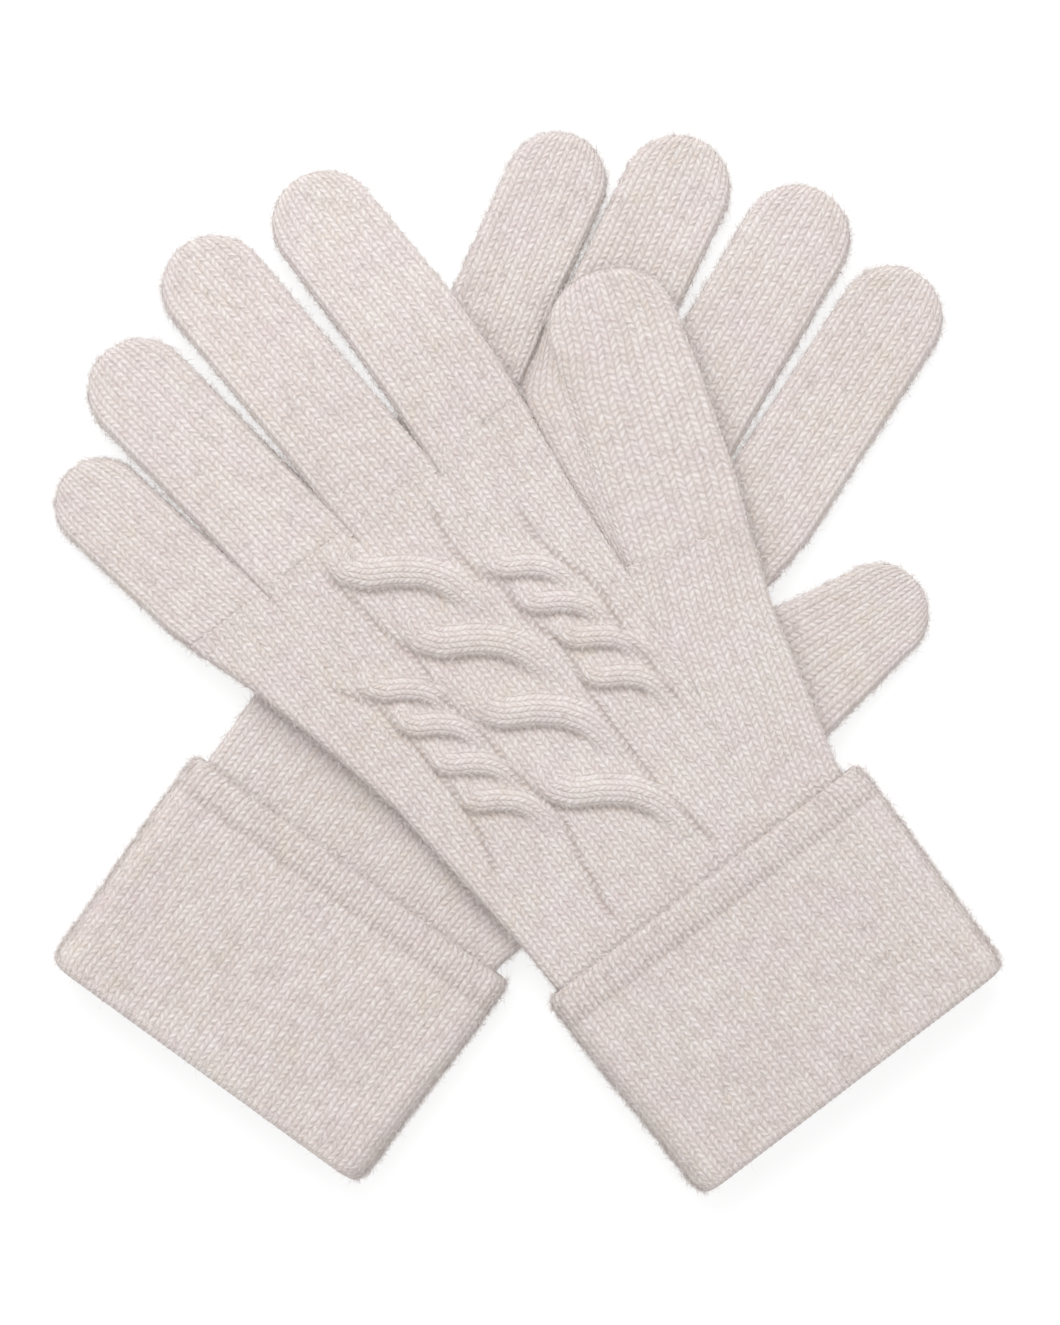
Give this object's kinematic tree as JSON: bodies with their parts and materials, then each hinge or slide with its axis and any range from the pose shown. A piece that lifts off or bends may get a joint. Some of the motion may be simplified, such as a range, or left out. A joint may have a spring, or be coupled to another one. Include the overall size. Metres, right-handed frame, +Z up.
{
  "type": "pair of knitted gloves",
  "caption": "Pair of full-fingered knitted gloves with cabled backs and deep turned-back cuffs, laid flat and crossed, the left glove on top",
  "frame": {"origin": "on the table, at the centre of the outline of the crossed pair", "axes": "+Z up from the table; +Y from the cuffs towards the fingertips of the crossed pair; +X towards the side where both thumbs lie"},
  "size_m": [0.2294, 0.2552, 0.0142],
  "materials": {
    "hand": "soft brushed knit, oatmeal melange",
    "fingers": "soft plain knit, oatmeal melange",
    "finger_tips": "soft plain knit, oatmeal melange",
    "inner_wrist": "soft plain knit, oatmeal melange",
    "cuff": "soft plain knit, oatmeal melange",
    "hem": "doubled knit band"
  },
  "bodies": {
    "right_hand": {"right_back_panel": "hand", "right_palm_panel": "hand", "right_little_edge": "hand", "right_thumb_edge": "hand", "right_wrist_back": "inner_wrist", "right_wrist_palm": "inner_wrist", "right_wrist_little_edge": "inner_wrist", "right_wrist_thumb_edge": "inner_wrist", "right_index_base": "fingers", "right_middle_base": "fingers", "right_ring_base": "fingers", "right_little_base": "fingers", "right_thumb_base": "fingers"},
    "right_index_tip": {"right_index_end": "finger_tips"},
    "right_middle_tip": {"right_middle_end": "finger_tips"},
    "right_ring_tip": {"right_ring_end": "finger_tips"},
    "right_little_tip": {"right_little_end": "finger_tips"},
    "right_thumb_tip": {"right_thumb_end": "finger_tips"},
    "right_cuff_back_turn": {"right_cuff_back": "cuff", "right_hem_back": "hem"},
    "right_cuff_palm_turn": {"right_cuff_palm": "cuff", "right_hem_palm": "hem"},
    "left_hand": {"left_back_panel": "hand", "left_palm_panel": "hand", "left_little_edge": "hand", "left_thumb_edge": "hand", "left_wrist_back": "inner_wrist", "left_wrist_palm": "inner_wrist", "left_wrist_little_edge": "inner_wrist", "left_wrist_thumb_edge": "inner_wrist", "left_index_base": "fingers", "left_middle_base": "fingers", "left_ring_base": "fingers", "left_little_base": "fingers", "left_thumb_base": "fingers"},
    "left_index_tip": {"left_index_end": "finger_tips"},
    "left_middle_tip": {"left_middle_end": "finger_tips"},
    "left_ring_tip": {"left_ring_end": "finger_tips"},
    "left_little_tip": {"left_little_end": "finger_tips"},
    "left_thumb_tip": {"left_thumb_end": "finger_tips"},
    "left_cuff_back_turn": {"left_cuff_back": "cuff", "left_hem_back": "hem"},
    "left_cuff_palm_turn": {"left_cuff_palm": "cuff", "left_hem_palm": "hem"}
  },
  "joints": [
    {"name": "left_lift", "type": "slide", "parent": "right_hand", "child": "left_hand", "axis": [0, 0, 1], "range_m": [0, 0.1]},
    {"name": "right_index_fold", "type": "hinge", "parent": "right_hand", "child": "right_index_tip", "pos_m": [0.07352, 0.06208, 0.00527], "axis": [0.8378, -0.5459, 0], "range_deg": [0, 90]},
    {"name": "right_middle_fold", "type": "hinge", "parent": "right_hand", "child": "right_middle_tip", "pos_m": [0.051, 0.07951, 0.00528], "axis": [0.8612, -0.5082, 0], "range_deg": [0, 90]},
    {"name": "right_ring_fold", "type": "hinge", "parent": "right_hand", "child": "right_ring_tip", "pos_m": [0.02692, 0.09645, 0.0052], "axis": [0.8999, -0.4361, 0], "range_deg": [0, 90]},
    {"name": "right_little_fold", "type": "hinge", "parent": "right_hand", "child": "right_little_tip", "pos_m": [-0.00003, 0.10126, 0.00528], "axis": [0.9124, -0.4093, 0], "range_deg": [0, 90]},
    {"name": "right_thumb_fold", "type": "hinge", "parent": "right_hand", "child": "right_thumb_tip", "pos_m": [0.07022, 0.00159, 0.0062], "axis": [0.5929, -0.8053, 0], "range_deg": [0, 90]},
    {"name": "right_cuff_palm_unfold", "type": "hinge", "parent": "right_hand", "child": "right_cuff_palm_turn", "pos_m": [-0.0775, -0.0977, 0.0124], "axis": [0.809, -0.5878, 0], "range_deg": [0, 180]},
    {"name": "right_cuff_back_unfold", "type": "hinge", "parent": "right_hand", "child": "right_cuff_back_turn", "pos_m": [-0.0775, -0.0977, 0.0018], "axis": [-0.809, 0.5878, 0], "range_deg": [0, 180]},
    {"name": "left_index_fold", "type": "hinge", "parent": "left_hand", "child": "left_index_tip", "pos_m": [-0.03102, 0.08113, 0.0107], "axis": [0.8198, 0.5727, 0], "range_deg": [0, 90]},
    {"name": "left_middle_fold", "type": "hinge", "parent": "left_hand", "child": "left_middle_tip", "pos_m": [-0.05515, 0.06651, 0.0107], "axis": [0.7666, 0.6422, 0], "range_deg": [0, 90]},
    {"name": "left_ring_fold", "type": "hinge", "parent": "left_hand", "child": "left_ring_tip", "pos_m": [-0.07458, 0.04675, 0.00791], "axis": [0.7131, 0.7011, 0], "range_deg": [0, 90]},
    {"name": "left_little_fold", "type": "hinge", "parent": "left_hand", "child": "left_little_tip", "pos_m": [-0.08826, 0.02502, 0.00807], "axis": [0.6766, 0.7364, 0], "range_deg": [0, 90]},
    {"name": "left_thumb_fold", "type": "hinge", "parent": "left_hand", "child": "left_thumb_tip", "pos_m": [0.02848, 0.06417, 0.0107], "axis": [0.9476, 0.3194, 0], "range_deg": [0, 90]},
    {"name": "left_cuff_back_unfold", "type": "hinge", "parent": "left_hand", "child": "left_cuff_back_turn", "pos_m": [0.0781, -0.0997, 0.0124], "axis": [0.7955, 0.606, 0], "range_deg": [0, 180]},
    {"name": "left_cuff_palm_unfold", "type": "hinge", "parent": "left_hand", "child": "left_cuff_palm_turn", "pos_m": [0.0781, -0.0997, 0.0018], "axis": [-0.7955, -0.606, 0], "range_deg": [0, 180]}
  ],
  "couplings": [
    {"joint": "right_cuff_back_unfold", "follows": "right_cuff_palm_unfold", "ratio": 1},
    {"joint": "left_cuff_palm_unfold", "follows": "left_cuff_back_unfold", "ratio": 0.96}
  ]
}
